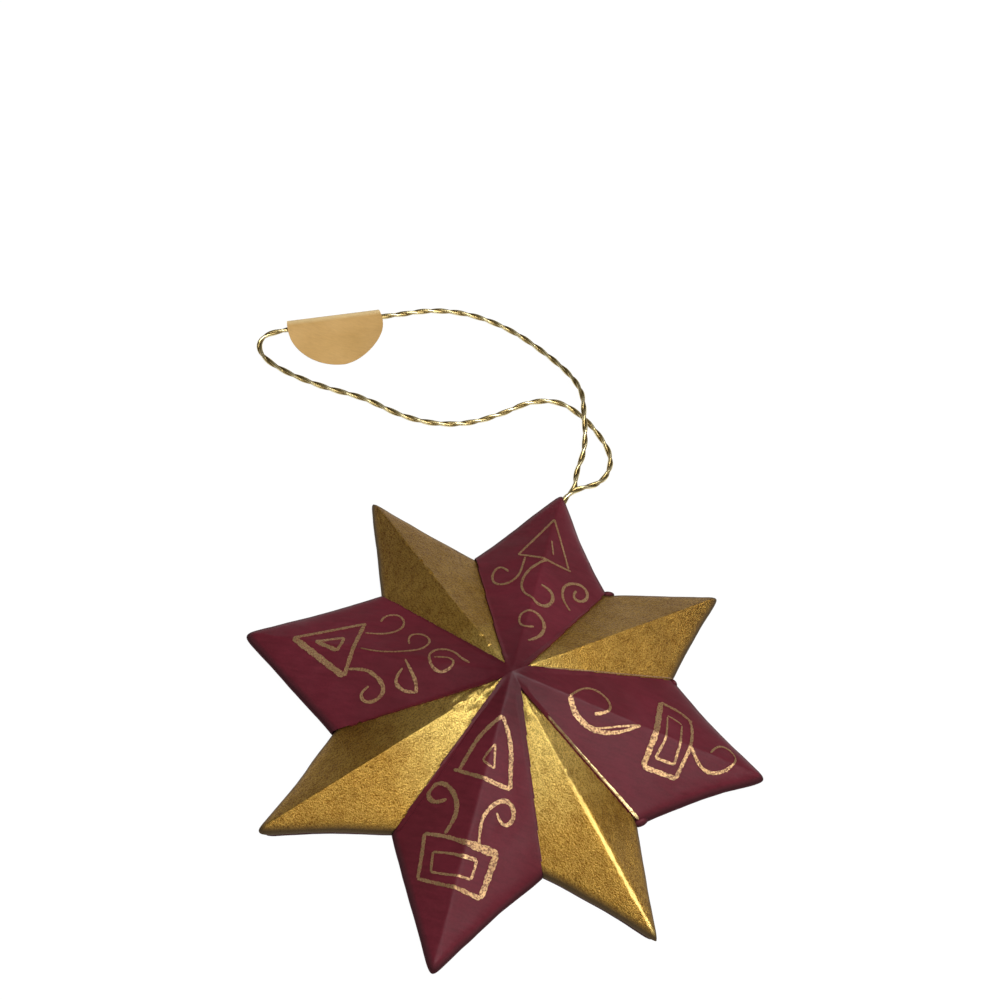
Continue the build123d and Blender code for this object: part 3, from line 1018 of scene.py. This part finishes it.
# Painted scrolls: for each maroon point, its angle and its strokes. A stroke's points give the reach along
# the ridge from the star's axis, the step to the left of the ridge and the stroke's width there
scrolls = {
    "left": (180.0, [
        [(37.3, 0.1, 0.7), (32.0, -2.8, 0.6), (26.7, -5.6, 0.6)],
        [(37.3, 0.1, 1.2), (32.2, 2.5, 1.1), (27.0, 4.8, 1.1)],
        [(26.6, -5.9, 0.8), (26.8, -0.5, 0.8), (26.9, 4.8, 0.8)],
        [(33.4, 0.1, 0.6), (31.2, -0.8, 0.6), (29.0, -1.7, 0.55)],
        [(33.4, 0.1, 0.8), (31.4, 0.6, 0.75), (29.4, 1.1, 0.7)],
        [(29.0, -1.7, 0.6), (28.9, 0.3, 0.6), (29.4, 1.1, 0.7)],
        [(25.9, -3.6, 0.3), (23.5, -3.8, 0.4), (21.4, -4.6, 0.4), (20.1, -6.0, 0.45), (20.2, -7.7, 0.45),
         (21.4, -8.9, 0.4), (22.9, -8.8, 0.4), (24.0, -8.0, 0.4), (24.1, -6.8, 0.5)],
        [(25.6, 0.1, 0.25), (23.2, 0.3, 0.3), (20.7, 0.0, 0.3), (18.0, -0.8, 0.3), (15.7, -1.7, 0.4),
         (14.7, -3.4, 0.45), (15.3, -4.7, 0.4), (16.9, -5.3, 0.35), (18.3, -4.8, 0.35), (18.5, -3.5, 0.4),
         (18.0, -2.6, 0.35)],
        [(26.5, 3.6, 0.45), (24.0, 3.2, 0.55), (22.1, 3.8, 0.7), (20.5, 4.8, 0.8), (19.8, 5.9, 0.8),
         (20.0, 7.0, 0.7), (21.1, 8.0, 0.6), (22.5, 8.1, 0.6), (23.3, 7.3, 0.6), (23.1, 6.4, 0.5),
         (22.4, 5.7, 0.35)],
        [(17.8, 0.8, 0.3), (16.7, 2.0, 0.55), (15.6, 3.2, 0.65), (14.7, 4.5, 0.65), (14.5, 5.6, 0.6)],
        [(14.6, 5.5, 0.5), (16.1, 5.7, 0.55), (17.5, 5.2, 0.65), (18.3, 4.5, 0.65), (18.3, 3.3, 0.55),
         (17.8, 2.2, 0.4)],
        [(7.4, -0.3, 0.5), (8.8, -0.9, 0.5), (10.0, -2.0, 0.4), (11.7, -2.5, 0.4), (13.5, -2.0, 0.45),
         (14.3, -0.7, 0.45), (13.7, 0.8, 0.5), (12.5, 1.8, 0.55), (11.2, 2.0, 0.55), (10.0, 1.0, 0.5),
         (9.9, -0.2, 0.4), (11.3, -0.8, 0.3), (13.3, -0.3, 0.3)],
    ]),
    "top": (90.0, [
        [(36.8, 0.2, 0.5), (31.9, 2.5, 0.5), (27.0, 4.8, 0.45)],
        [(36.8, 0.3, 0.45), (31.5, -2.3, 0.4), (26.8, -4.5, 0.4)],
        [(27.0, 4.8, 0.45), (26.8, 2.4, 0.5), (26.4, 0.0, 0.5), (26.4, -2.2, 0.5), (26.6, -5.0, 0.45)],
        [(31.3, -0.3, 0.35), (29.9, -0.7, 0.3), (28.3, -1.2, 0.35)],
        [(26.5, 3.5, 0.4), (24.4, 3.5, 0.4), (21.9, 3.6, 0.45), (20.1, 4.6, 0.5), (19.2, 6.0, 0.55),
         (19.4, 7.4, 0.5), (21.0, 8.2, 0.5), (23.0, 8.0, 0.45), (23.8, 6.9, 0.5), (22.6, 5.6, 0.45)],
        [(26.5, -0.5, 0.6), (24.8, 1.4, 0.65), (22.2, 2.7, 0.55), (19.6, 2.9, 0.5), (17.6, 2.0, 0.45),
         (16.7, 0.4, 0.45), (15.7, -0.7, 0.7), (16.0, -2.3, 0.75), (17.9, -3.2, 0.75), (19.6, -2.8, 0.7),
         (20.3, -1.6, 0.6), (20.3, -0.5, 0.45)],
        [(17.8, -6.5, 0.35), (19.0, -5.1, 0.5), (20.6, -4.4, 0.55), (22.5, -4.4, 0.6), (24.1, -5.6, 0.65),
         (24.8, -7.4, 0.65), (24.0, -8.7, 0.65), (22.5, -9.0, 0.65), (21.1, -8.2, 0.65), (20.8, -6.9, 0.65),
         (21.9, -6.3, 0.55), (22.9, -6.8, 0.45)],
        [(10.7, -1.1, 0.45), (9.6, 0.3, 0.4), (10.6, 1.5, 0.4), (12.6, 1.6, 0.45), (13.7, 0.4, 0.45),
         (13.8, -1.1, 0.55), (12.6, -2.6, 0.7), (10.9, -3.0, 0.7), (8.8, -2.3, 0.65), (7.3, -0.8, 0.4)],
    ]),
    "right": (0.0, [
        [(9.7, -0.3, 0.9), (10.5, -1.8, 1.15), (12.0, -3.0, 1.15), (14.1, -3.7, 1.0), (16.4, -3.6, 0.8),
         (18.8, -2.7, 0.6), (20.8, -1.4, 0.5), (22.2, -0.4, 0.35)],
        [(15.0, -3.4, 0.35), (16.8, -2.7, 0.3), (19.2, -1.5, 0.35), (22.1, -0.4, 0.4)],
        [(9.7, -0.3, 0.5), (10.8, 1.6, 0.4), (12.5, 3.0, 0.4), (14.5, 3.0, 0.45), (16.2, 2.0, 0.45),
         (16.8, 0.5, 0.5), (16.0, -0.7, 0.6), (14.3, -1.4, 0.6)],
        [(25.1, 6.3, 1.1), (25.1, 2.9, 1.25), (25.0, -0.4, 1.2), (24.6, -3.2, 1.15), (24.2, -6.0, 1.0)],
        [(24.2, -6.0, 0.9), (27.1, -5.9, 0.9), (30.0, -5.8, 0.8)],
        [(30.0, -5.8, 0.75), (30.8, -2.5, 0.7), (31.3, 0.1, 0.65), (31.2, 3.9, 0.6), (30.5, 5.1, 0.5)],
        [(25.1, 6.3, 0.6), (27.4, 6.2, 0.55), (29.4, 5.7, 0.5), (31.0, 4.8, 0.5)],
        [(26.6, 3.9, 0.35), (26.9, -0.3, 0.4), (26.4, -2.3, 0.5), (25.9, -4.0, 0.55)],
        [(25.9, -4.0, 0.5), (27.6, -4.0, 0.5), (29.2, -3.9, 0.55)],
        [(29.2, -3.9, 0.5), (29.3, -2.1, 0.55), (29.4, -0.3, 0.5), (29.3, 3.2, 0.35)],
        [(26.6, 4.1, 0.3), (28.0, 4.0, 0.3), (29.2, 3.4, 0.3)],
        [(30.9, 0.0, 0.7), (32.2, -1.4, 0.65), (33.6, -2.7, 0.65), (35.4, -3.1, 0.65), (37.3, -2.3, 0.6),
         (38.7, -1.0, 0.55), (39.5, 0.6, 0.35), (38.9, 1.8, 0.3), (37.4, 2.5, 0.4), (35.7, 1.9, 0.45),
         (34.8, 0.0, 0.4)],
        [(4.6, 3.1, 0.20), (16.0, 8.2, 0.26), (26.7, 12.95, 0.22)],
    ]),
    "bottom": (270.0, [
        [(7.2, 0.0, 0.7), (9.8, -2.2, 0.75), (12.7, -3.4, 0.75), (16.2, -4.3, 0.7)],
        [(7.2, 0.0, 0.6), (9.2, 1.7, 0.85), (11.8, 2.9, 0.9), (14.4, 3.5, 0.85), (17.0, 4.2, 0.75)],
        [(16.2, -5.2, 0.6), (16.7, -2.3, 0.65), (17.2, 0.8, 0.8), (17.0, 4.2, 0.75)],
        [(11.6, 0.1, 0.35), (13.1, -0.8, 0.4), (14.4, -1.1, 0.45)],
        [(11.6, 0.1, 0.35), (13.5, 0.5, 0.4), (15.1, 0.9, 0.4)],
        [(14.4, -1.1, 0.4), (15.0, -0.1, 0.35), (15.1, 0.9, 0.35)],
        [(25.9, -3.8, 0.55), (23.9, -3.0, 0.75), (21.7, -3.0, 0.85), (19.6, -4.2, 0.85), (18.4, -6.0, 0.8),
         (18.7, -7.4, 0.75), (20.1, -8.2, 0.85), (21.3, -7.5, 0.85), (21.5, -6.1, 0.75), (20.8, -5.0, 0.55)],
        [(26.3, 1.7, 0.45), (24.2, 1.2, 0.55), (22.2, 1.2, 0.6), (20.1, 2.2, 0.7), (18.7, 3.8, 0.85),
         (19.2, 5.4, 0.85), (20.9, 6.0, 0.75), (22.3, 5.1, 0.65), (22.1, 3.9, 0.5), (21.0, 3.1, 0.4)],
        [(26.3, -6.9, 0.65), (26.2, -3.7, 0.65), (26.8, -0.8, 0.8), (26.8, 1.6, 1.6), (26.6, 5.0, 1.5)],
        [(26.7, 4.7, 1.3), (29.8, 4.5, 1.2), (33.5, 4.1, 1.0)],
        [(32.9, -6.1, 0.6), (33.2, -3.3, 0.6), (33.4, -0.4, 0.65), (33.5, 4.1, 0.85)],
        [(26.3, -6.9, 0.65), (29.4, -6.3, 0.65), (32.9, -6.0, 0.65)],
        [(28.8, -4.8, 0.4), (28.6, -2.0, 0.4), (28.9, -0.4, 0.75), (28.6, 2.0, 0.75)],
        [(28.6, 2.0, 0.5), (30.1, 2.1, 0.45), (31.5, 1.9, 0.45)],
        [(31.7, -4.3, 0.45), (31.9, -1.1, 0.4), (31.5, 1.9, 0.45)],
        [(28.8, -4.8, 0.45), (30.3, -4.6, 0.45), (31.7, -4.3, 0.45)],
    ]),
}
stroke_columns = 5
stroke_thickness = 0.06
brush_load = 0.82
stroke_end = 0.03
stroke_offset = 0.8
# Height from which the strokes are let down on the star
stroke_drop = apex_height + 5.0
# Unevenness of a stroke's width: share, radians per millimetre and shift from stroke to stroke
brush_sways = [(0.10, 3.1, 1), (0.07, 7.7, 2)]


def brush_stroke(places, faces, angle, route, number):
    """A flat ribbon along a stroke, with round ends and the small unevenness of a brush."""
    way = polar(1.0, angle)
    left = Vector((-way.y, way.x))
    controls = [(*(way * reach + left * step), width) for reach, step, width in route]
    line = spline_points("stroke_line", controls)
    spots = [plan_mm(point) for point in line]
    lengths = [0.0]
    for before, after in zip(spots, spots[1:]):
        lengths.append(lengths[-1] + (after - before).length)
    first = len(places)
    for row, (spot, along) in enumerate(zip(spots, lengths)):
        ahead = (spots[min(row + 1, len(spots) - 1)] - spots[max(row - 1, 0)]).normalized()
        half = brush_load * line[row].z / MM / 2
        half *= 1 + sum(share * sin(rate * along + shift * number) for share, rate, shift in brush_sways)
        from_end = min(along, lengths[-1] - along)
        if from_end < half:
            half = max(sqrt(half ** 2 - (half - from_end) ** 2), stroke_end)
        for column in range(stroke_columns):
            side = Vector((-ahead.y, ahead.x)) * half * (2 * column / (stroke_columns - 1) - 1)
            places.append(mm(*(spot + side), stroke_drop))
    for row in range(len(spots) - 1):
        for column in range(stroke_columns - 1):
            low = first + row * stroke_columns + column
            faces.append((low, low + stroke_columns, low + stroke_columns + 1, low + 1))


def laid_strokes(name, angle, strokes, thickness):
    """Strokes laid on the star's surface as one thin piece."""
    places, faces = [], []
    for number, route in enumerate(strokes):
        brush_stroke(places, faces, angle, route, number)
    piece = mesh_piece(name, places, faces)
    modify(
        piece,
        "SHRINKWRAP",
        target=form,
        wrap_method="PROJECT",
        use_project_z=True,
        use_negative_direction=True,
        use_positive_direction=False,
    )
    modify(piece, "SOLIDIFY", thickness=thickness * MM, offset=stroke_offset)
    pick(piece)
    bpy.ops.object.shade_smooth_by_angle(angle=sheet_smooth_angle)
    return piece


for name, (angle, strokes) in scrolls.items():
    paint = laid_strokes("scroll_paint_" + name, angle, strokes, stroke_thickness)
    finish_piece(paint, stroke_gold, "star", "gold_leaf")

# The bottom point's sheet ends in a thin folded lip where it laps the lower left point
lap_fold = [(5.5, -2.9, 0.5), (12.0, -5.4, 0.9), (19.0, -8.2, 1.0), (26.4, -11.1, 0.8)]
lap_fold_thickness = 0.28
fold = laid_strokes("bottom_lap_fold", 270.0, [lap_fold], lap_fold_thickness)
finish_piece(fold, maroon, "star", "maroon_paint")

# The right point's lapped edge is gilded and rubbed bright
lap_gilding = [(7.0, -4.45, 0.45), (16.0, -8.85, 0.66), (25.7, -13.55, 0.60)]
lap_gilding_thickness = 0.10
gilding = laid_strokes("gilded_lap_edge", 0.0, [lap_gilding], lap_gilding_thickness)
finish_piece(gilding, edge_gold, "star", "gold_leaf")
remove(form)

# Painted lap ends of the maroon sheets, pressed over three of the inner corners: the tip that each end runs
# towards, its half length and its half breadth
lap_ends = {0: (0, 0.8, 0.5), 1: (1, 1.2, 0.65), 7: (0, 1.4, 0.7)}
lap_end_height = 1.8
lap_end_depth = 0.85
lap_end_inset = 0.985
lap_end_lead = 0.4
lap_end_wave = 0.3
for number, (tip, length, breadth) in lap_ends.items():
    way = (tips[tip] - corners[number]).normalized()
    spot = corners[number] * lap_end_inset + way * lap_end_lead * length
    bpy.ops.object.select_all(action="DESELECT")
    bpy.ops.mesh.primitive_uv_sphere_add(
        segments=32,
        ring_count=16,
        radius=MM,
        location=mm(spot.x, spot.y, lap_end_height),
        rotation=(0.0, 0.0, atan2(way.y, way.x)),
        scale=(length, breadth, lap_end_depth),
    )
    lap_end = bpy.context.object
    lap_end.name = f"lap_end_{number}"
    bpy.ops.object.transform_apply(location=True, rotation=True, scale=True)
    wave = bpy.data.textures["small_wave"]
    displace(lap_end, wave, lap_end_wave)
    pick(lap_end)
    bpy.ops.object.shade_smooth()
    finish_piece(lap_end, maroon, "star", "maroon_paint")

# Solder inside, set a little in and down from the thinner painted sheets
bead_spread = 0.95
bead_drop = 0.5


def solder_bead(name, node):
    """A solder bead of the construction, drawn in from the sheets that cover it."""
    bead = copy_of(node, name + "_bead")
    bead.data.transform(node.matrix_world)
    open_edit(bead)
    bpy.ops.mesh.select_all(action="SELECT")
    bpy.ops.mesh.remove_doubles(threshold=1e-6)
    turn_outward()
    close_edit()
    for vertex in bead.data.vertices:
        vertex.co.xy *= bead_spread
        if vertex.co.z > (back_sheet + bead_drop) * MM:
            vertex.co.z -= bead_drop * MM
    finish_piece(bead, solder_grey, "star", "solder", name)


for name, node in list(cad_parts.items()):
    if "solder" in name:
        solder_bead(name, node)


# Floor and light

sky_light = 0.08
floor_shown = 0.93
floor_mirrored = 0.45
floor_glow = 1.05


def set_floor():
    """A pale floor that shows white to the camera and keeps the object's shadow."""
    bpy.ops.object.select_all(action="DESELECT")
    bpy.ops.mesh.primitive_plane_add(size=6.0, location=mm(0, 0, -0.05))
    floor = bpy.context.object
    floor.name = "floor"
    bpy.ops.object.transform_apply(location=True)
    matt_grey = {"Base_Color": (0.85, 0.85, 0.85, 1.0), "Roughness": 1.0, "Specular_IOR_Level": 0.0}
    pale = Finish("floor_white", **matt_grey)
    shown = floor_shown * pale.rays("Camera") + floor_mirrored * pale.rays("Glossy")
    glow = pale.node("ShaderNodeEmission", {}, {"Strength": floor_glow})
    matt = Value(pale, pale.shader.outputs[0])
    surface = pale.node("ShaderNodeMixShader", {}, {0: shown, 1: matt, 2: glow})
    pale.put(pale.tree.nodes["Material Output"].inputs["Surface"], surface)
    floor.data.materials.append(pale.material)


def set_world():
    """Dim even light from all round, which shows white to the camera."""
    world = bpy.data.worlds.new("studio")
    scene.world = world
    sky = Nodes(world)
    background = sky.tree.nodes["Background"].inputs
    sky.put(background["Color"], (1.0, 1.0, 1.0, 1.0))
    sky.put(background["Strength"], sky_light + (1.0 - sky_light) * sky.rays("Camera"))


def add_lamp(name, place, size, power):
    """A round lamp, turned to the star's axis at the floor."""
    data = bpy.data.lights.new(name, "AREA")
    data.shape = "DISK"
    data.size = size
    data.energy = power
    lamp = bpy.data.objects.new(name, data)
    scene.collection.objects.link(lamp)
    lamp.location = place
    lamp.rotation_euler = (-Vector(place)).to_track_quat("-Z", "Y").to_euler()


set_floor()
set_world()
add_lamp("front_left_lamp", (-0.107, -0.330, 0.514), 0.18, 0.57)
add_lamp("front_right_lamp", (0.123, -0.319, 0.517), 0.18, 0.57)
add_lamp("right_lamp", (0.372, -0.143, 0.475), 0.12, 0.40)
add_lamp("ridge_lamp", (0.329, 0.0, 0.618), 0.12, 0.10)
add_lamp("key_lamp", (0.221, 0.221, 0.736), 0.42, 4.2)

scene.view_settings.view_transform = "Standard"
